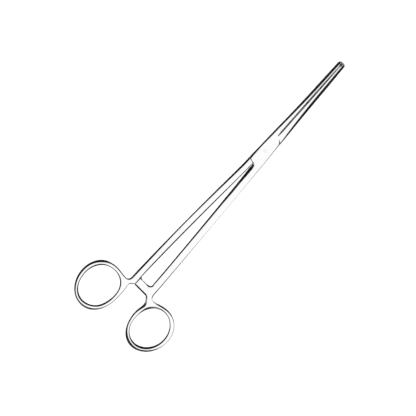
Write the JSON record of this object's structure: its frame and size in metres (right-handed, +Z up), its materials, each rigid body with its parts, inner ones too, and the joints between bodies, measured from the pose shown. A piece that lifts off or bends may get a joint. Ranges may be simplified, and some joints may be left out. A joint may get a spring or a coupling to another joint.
{
  "type": "long forceps",
  "caption": "Long ring-handled steel forceps with a box lock, a ratchet between the shanks and straight serrated jaws, closed and lying flat.",
  "frame": {"origin": "on the bench, midway along the overall length and midway between the outer sides of the finger rings, with the closed forceps lying flat", "axes": "+Y along the instrument to the jaw tips, +Z up through its thickness, +X towards the finger ring of the box arm"},
  "size_m": [0.0753, 0.24, 0.0056],
  "materials": {
    "polished_stainless": "polished stainless steel",
    "satin_stainless": "satin stainless steel"
  },
  "bodies": {
    "box_arm": {"box_arm": "polished_stainless", "lock_pin": "satin_stainless"},
    "tongue_arm": {"tongue_arm": "polished_stainless"}
  },
  "joints": [
    {"name": "lock_pivot", "type": "hinge", "parent": "box_arm", "child": "tongue_arm", "pos_m": [0.0005, 0.0402, 0.0028], "axis": [0, 0, -1], "range_deg": [0, 58]}
  ]
}
